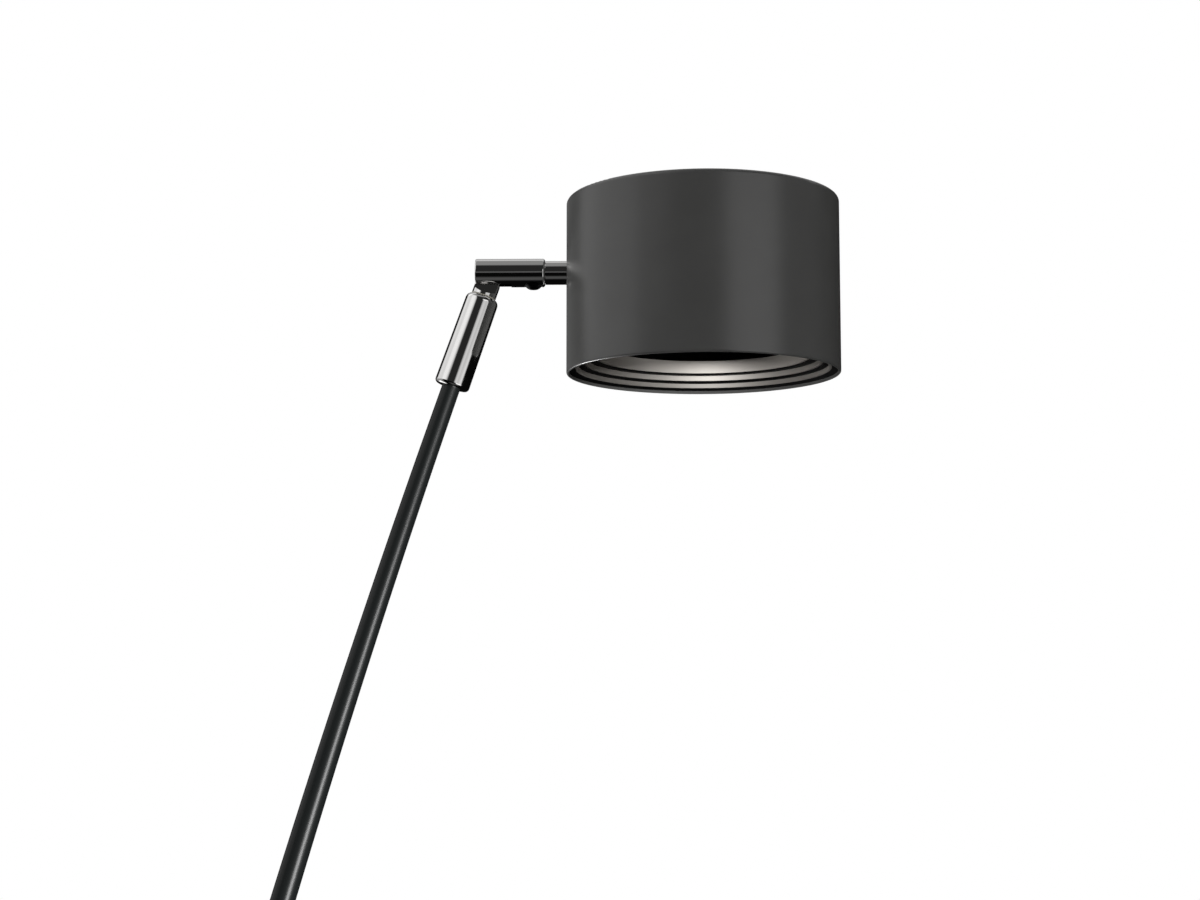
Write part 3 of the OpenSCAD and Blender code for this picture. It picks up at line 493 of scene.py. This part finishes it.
# %% Moulded finishes
# Each row holds the finish, its colour, roughness, specular level and grain in millimetres.
MOULDED = {
    # A light trap: so matt and dark that the steps vanish between the rings
    "black_baffle": ("matt_black_moulding", "#060606", 0.74, 0.15, 0.35),
    # Soft grey sheen over an even grain
    "black_plastic": ("grained_black_abs", "#18191b", 0.48, 0.5, 0.45),
    # Hard and shiny, brown-black
    "phenolic": ("moulded_phenolic", "#151413", 0.26, 0.5, 1.2),
    # Waxy, off-white
    "nylon": ("natural_nylon", "#ddd8c8", 0.46, 0.5, 1.6),
    # Dull and rubbery
    "lead_sheath": ("flexible_pvc_sheath", "#1b1b1c", 0.55, 0.5, 0.6),
}
GRAIN_SPREAD = 0.06
for slot, (name, colour, roughness, specular, grain_mm) in MOULDED.items():
    finish, tree, shader, where = start_finish(name, colour, Roughness=roughness, IOR=1.5,
                                               Specular_IOR_Level=specular)
    grain = add_noise(tree, where, size_mm=grain_mm, detail=3)
    vary_gloss(tree, shader, grain, low=roughness - GRAIN_SPREAD, high=roughness + GRAIN_SPREAD)
    add_relief(tree, shader, grain, strength=0.3, depth_mm=0.02)
    finishes[slot] = finish
    print("made", finish.name)

# %% [markdown]
# ### Plain metal parts
#
# Nuts, clips and pins are zinc plated. The contacts, terminal screws and friction pad
# are brass, the other screws are blackened steel, and the bulb's cap is rolled
# aluminium. All are metal with a cloudy sheen.

# %% Plain metals
# Each row holds the finish, its colour, roughness and cloud size in millimetres.
METALS = {
    # Bluish white, a little hazy
    "zinc_steel": ("bright_zinc_plate", "#b9bdc0", 0.3, 2.5),
    # Warm yellow with a clean lathe-cut shine
    "brass": ("turned_brass", "#c7a053", 0.26, 1.5),
    # Pale grey with a soft shine
    "bulb_metal": ("rolled_aluminium_cap", "#c4c4c2", 0.34, 3.0),
    # Nearly black, with an oily sheen
    "black_steel": ("blackened_steel", "#1a1a1c", 0.38, 1.0),
}
CLOUD_SPREAD = 0.1
for slot, (name, colour, roughness, cloud_mm) in METALS.items():
    finish, tree, shader, where = start_finish(name, colour, Metallic=1.0, Roughness=roughness)
    cloud = add_noise(tree, where, size_mm=cloud_mm, detail=5)
    vary_gloss(tree, shader, cloud, low=roughness - CLOUD_SPREAD, high=roughness + CLOUD_SPREAD)
    finishes[slot] = finish
    print("made", finish.name)

# %% [markdown]
# ### Base materials and bulb
#
# The weight is rough grey iron, cast in sand and primed. The pad is pressed wool felt
# with a short nap, whose fibres are drawn coarser than life so that they show. The
# globe is opal glass, which scatters light inside its wall.

# %% Cast iron, felt and opal glass
finish, tree, shader, where = start_finish("primed_cast_iron", "#47484a", Roughness=0.72, IOR=1.5)
sand = add_noise(tree, where, size_mm=1.4, detail=6, roughness=0.7)
vary_gloss(tree, shader, sand, low=0.62, high=0.82)
add_relief(tree, shader, sand, strength=0.6, depth_mm=0.3)
finishes["cast_iron"] = finish

finish, tree, shader, where = start_finish("pressed_wool_felt", "#232325", Roughness=0.95, IOR=1.45,
                                           Sheen_Weight=0.4, Sheen_Roughness=0.6)
fibre = add_noise(tree, where, size_mm=0.6, detail=6, roughness=0.75)
shade = two_tones(tree, fibre, dark="#161617", light="#343437")
tree.links.new(shade, shader.inputs["Base Color"])
add_relief(tree, shader, fibre, strength=0.7, depth_mm=0.2)
finishes["felt"] = finish

finish, tree, shader, where = start_finish("opal_glass", "#f1eee6", Roughness=0.16, IOR=1.5,
                                           Subsurface_Weight=0.35, Subsurface_Scale=1.0,
                                           Subsurface_Radius=(4 * MM, 4 * MM, 3 * MM))
haze = add_noise(tree, where, size_mm=18, detail=2)
vary_gloss(tree, shader, haze, low=0.12, high=0.2)
finishes["opal_glass"] = finish
print("finishes:", len(finishes))

# %% [markdown]
# ## Dress the pieces
#
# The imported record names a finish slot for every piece, so each CAD piece only swaps
# its plain colour for the finish made above. No mesh is touched.

# %% Give each CAD node its finish
node_slot = {part["node"]: part["material_slot"] for part in frame["record"]["subparts"]}
for name, node in nodes.items():
    node.data.materials.clear()
    node.data.materials.append(finishes[node_slot[name]])
print("dressed", len(nodes), "pieces")

# %% [markdown]
# ## Smooth stem
#
# The CAD stem is a faceted sweep, and its facets would break the long highlight. One
# ring of points is spun round the centre of the bow, which gives an exact arc. Each
# ring is then scaled down towards the top for the taper, and the skin gets its wall.
# A curve with a bevel would do too, but a spun ring keeps even faces for the gloss.

# %% Spin the stem
STEM_LENGTH = 1180 * MM
BOW_RADIUS = 6150 * MM
TOP_LEAN = math.radians(19.1)
FOOT_RADIUS = 11 * MM
TOP_RADIUS = 4.6 * MM
STEM_WALL = 1.2 * MM
STEM_SIDES = 72
STEM_STEPS = 118
RIM_ANGLE = math.radians(40)

cad_low_corner, cad_high_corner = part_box("stem_tube")
bend = STEM_LENGTH / BOW_RADIUS
foot_lean = TOP_LEAN - bend
stem_foot = Vector((0, 0, cad_low_corner.z + FOOT_RADIUS * math.sin(foot_lean)))
bow_centre = stem_foot + BOW_RADIUS * Vector((math.cos(foot_lean), 0, -math.sin(foot_lean)))
shape = bmesh.new()
bmesh.ops.create_circle(shape, segments=STEM_SIDES, radius=FOOT_RADIUS,
                        matrix=Matrix.Translation(stem_foot) @ Matrix.Rotation(foot_lean, 4, "Y"))
bmesh.ops.spin(shape, geom=shape.edges[:], cent=bow_centre, axis=(0, 1, 0), angle=bend, steps=STEM_STEPS)
shape.verts.ensure_lookup_table()
for step in range(STEM_STEPS + 1):
    ring = shape.verts[step * STEM_SIDES:(step + 1) * STEM_SIDES]
    middle = sum((v.co for v in ring), Vector()) / STEM_SIDES
    share = step / STEM_STEPS
    narrow = 1 + share * (TOP_RADIUS / FOOT_RADIUS - 1)
    bmesh.ops.scale(shape, vec=(narrow,) * 3, space=Matrix.Translation(-middle), verts=ring)
bmesh.ops.recalc_face_normals(shape, faces=shape.faces[:])
bmesh.ops.solidify(shape, geom=shape.faces[:], thickness=STEM_WALL)
for face in shape.faces:
    face.smooth = True
for edge in shape.edges:
    edge.smooth = edge.calc_face_angle() < RIM_ANGLE
print("stem wall holds", round(shape.calc_volume(signed=True) / MM ** 3 / 1000, 1), "cubic centimetres")
stem_mesh = bpy.data.meshes.new("smooth_stem")
shape.to_mesh(stem_mesh)
shape.free()
stem = bpy.data.objects.new("smooth_stem", stem_mesh)
bpy.context.scene.collection.objects.link(stem)
stem_mesh.materials.append(finishes["black_paint"])
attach(stem, "stem")
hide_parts("stem_tube")
stem_low = Vector(min(v.co[i] for v in stem_mesh.vertices) for i in range(3))
stem_high = Vector(max(v.co[i] for v in stem_mesh.vertices) for i in range(3))
misses = (*(stem_low - cad_low_corner), *(stem_high - cad_high_corner))
print("stem box off by mm:", [round(miss / MM, 2) for miss in misses])

# %% [markdown]
# ## The stem's long highlight
#
# A thin dark tube reads as round by the one streak that runs along it. A tall panel at
# the low right gives the streak, linked to the stem alone, and its place makes the
# streak fade towards the head.

# %% Light the stem
STRIP_PLACE = Vector((930, -850, 480)) * MM
STRIP_AIM = Vector((210, 0, 1025)) * MM
STRIP_SIZE = (450 * MM, 800 * MM)
STRIP_WATTS = 33
add_panel("stem_strip", STRIP_PLACE, STRIP_AIM, STRIP_SIZE, STRIP_WATTS, [stem])
print("stem strip stands", round((STRIP_PLACE - STRIP_AIM).length, 2), "m from the stem")
